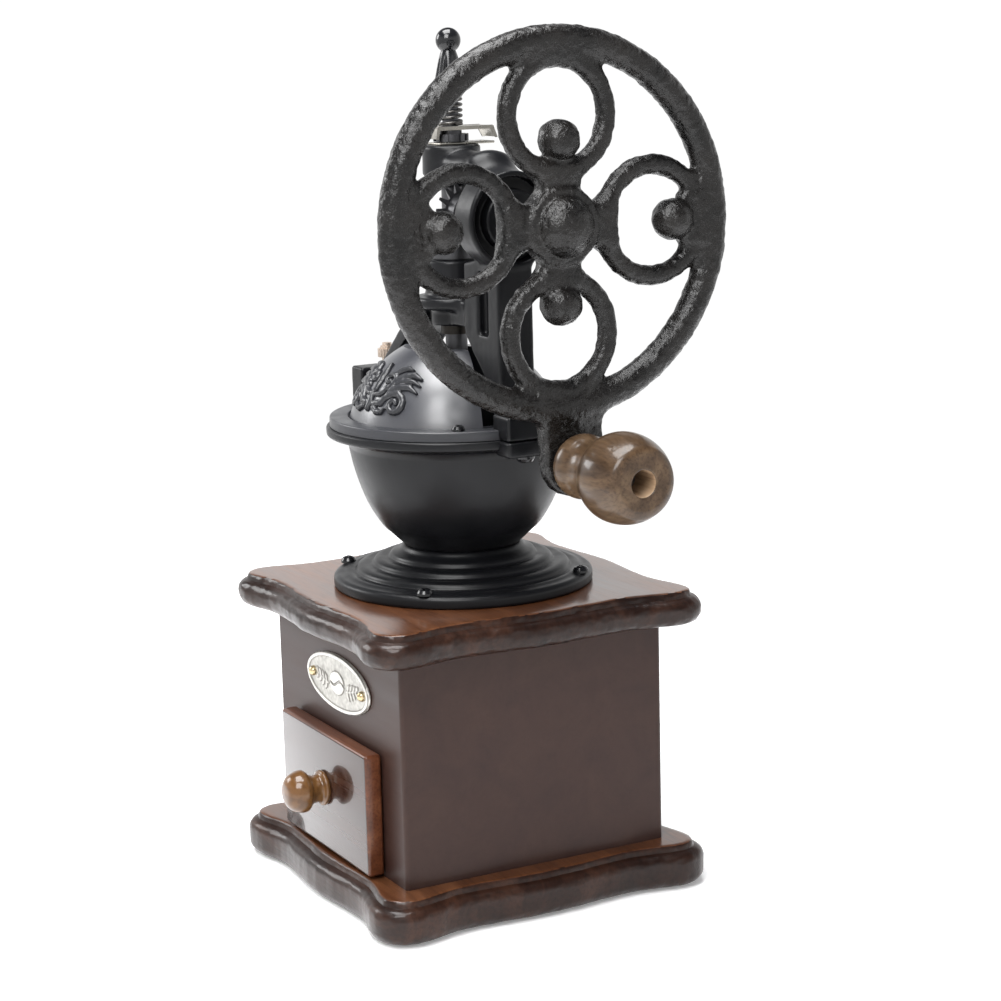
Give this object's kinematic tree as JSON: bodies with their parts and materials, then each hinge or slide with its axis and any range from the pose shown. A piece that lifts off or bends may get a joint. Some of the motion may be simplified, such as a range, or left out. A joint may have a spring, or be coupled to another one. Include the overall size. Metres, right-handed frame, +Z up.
{
  "type": "hand crank coffee grinder",
  "caption": "Wooden box mill with a drawer, a cast hopper with a sliding dome, and a spoked crank wheel driving a vertical burr spindle through bevel gears.",
  "frame": {"origin": "centre of the felt underside, on the line of the grinding spindle", "axes": "+Z up along the spindle, -Y towards the drawer's front, +X towards the crank wheel"},
  "size_m": [0.191, 0.1433, 0.3142],
  "materials": {
    "moulded_wood": "dark brown lacquer, glossy on the moulded edge",
    "body_wood": "dark brown satin lacquer",
    "plain_wood": "unfinished pale wood",
    "drawer_wood": "dark brown gloss lacquer",
    "knob_wood": "golden brown lacquer",
    "grip_wood": "mid brown lacquer",
    "felt": "black felt",
    "black_paint": "satin black paint",
    "hammered_iron": "rough black enamel with a slight glint",
    "black_screw": "glossy black",
    "steel": "turned",
    "gear_iron": "plain machined iron",
    "nickel": "dull nickel plate",
    "brass": "polished",
    "bush_brass": "machined",
    "spring_steel": "dark oiled",
    "black_gloss": "glossy black"
  },
  "bodies": {
    "mill": {"base_plate": "moulded_wood", "felt_pad": "felt", "base_screws": "steel", "corner_blocks": "plain_wood", "right_board": "body_wood", "left_board": "body_wood", "back_board": "body_wood", "front_rail": "body_wood", "front_stiles": "body_wood", "drawer_guides": "plain_wood", "top_plate": "moulded_wood", "nameplate": "nickel", "nameplate_pins": "brass", "stepped_flange": "black_paint", "flange_screws": "black_screw", "hopper_bowl": "black_paint", "outer_burr": "gear_iron", "lid_ring": "black_paint", "lid_screws": "black_screw", "tower_column": "black_paint", "tower_foot": "black_paint", "bearing_head": "black_paint", "top_arm": "black_paint", "top_boss": "black_paint", "step_boss": "black_paint", "step_bridge": "black_paint", "left_leg": "black_paint", "left_foot": "black_paint", "foot_screws": "black_screw", "thumb_nut": "brass", "shaft_bushes": "bush_brass", "click_base": "nickel", "hopper_hood": "black_paint"},
    "crank": {"wheel_rim": "hammered_iron", "wheel_loops": "hammered_iron", "wheel_hub": "hammered_iron", "wheel_bosses": "hammered_iron", "handle_lug": "hammered_iron", "wheel_axle": "steel", "set_screws": "black_screw", "axle_collar": "steel", "drive_bevel_gear": "gear_iron", "handle_pin": "steel"},
    "grip": {"wooden_grip": "grip_wood"},
    "spindle_drive": {"spindle_bevel_gear": "gear_iron"},
    "spindle": {"spindle": "steel", "inner_burr": "gear_iron", "burr_nut": "steel", "finial": "black_gloss"},
    "adjuster": {"adjust_nut": "steel"},
    "click": {"click_plate": "nickel", "spring": "spring_steel"},
    "drawer": {"drawer_front": "drawer_wood", "drawer_sides": "plain_wood", "drawer_back": "plain_wood", "drawer_bottom": "plain_wood", "drawer_knob": "knob_wood", "drawer_knob_screw": "steel"},
    "cover": {"dome_cover": "black_paint", "dome_relief": "black_paint"}
  },
  "joints": [
    {"name": "crank_spin", "type": "hinge", "parent": "mill", "child": "crank", "pos_m": [0.0763, 0, 0.2476], "axis": [1, 0, 0], "continuous": true},
    {"name": "grip_spin", "type": "hinge", "parent": "crank", "child": "grip", "pos_m": [0.1, 0.00353, 0.16668], "axis": [1, 0, 0], "continuous": true},
    {"name": "spindle_spin", "type": "hinge", "parent": "mill", "child": "spindle_drive", "pos_m": [0, 0, 0.236], "axis": [0, 0, 1], "continuous": true},
    {"name": "adjuster_turn", "type": "hinge", "parent": "spindle_drive", "child": "adjuster", "pos_m": [0, 0, 0.2745], "axis": [0, 0, 1], "range_deg": [-360, 360]},
    {"name": "spindle_lift", "type": "slide", "parent": "spindle_drive", "child": "spindle", "axis": [0, 0, 1], "range_m": [-0.001, 0.001]},
    {"name": "click_lift", "type": "slide", "parent": "spindle", "child": "click", "axis": [0, 0, 1], "range_m": [0, 0.0035], "stiffness_N_per_m": 300, "springref_m": -0.004, "deforming": ["spring"]},
    {"name": "drawer_slide", "type": "slide", "parent": "mill", "child": "drawer", "axis": [0, -1, 0], "range_m": [0, 0.07]},
    {"name": "cover_turn", "type": "hinge", "parent": "mill", "child": "cover", "pos_m": [0, 0, 0.175], "axis": [0, 0, 1], "range_deg": [0, 150]}
  ],
  "couplings": [
    {"joint": "spindle_spin", "follows": "crank_spin", "ratio": 1},
    {"joint": "adjuster_turn", "follows": "spindle_lift", "rad_per_m": -6283.2}
  ]
}
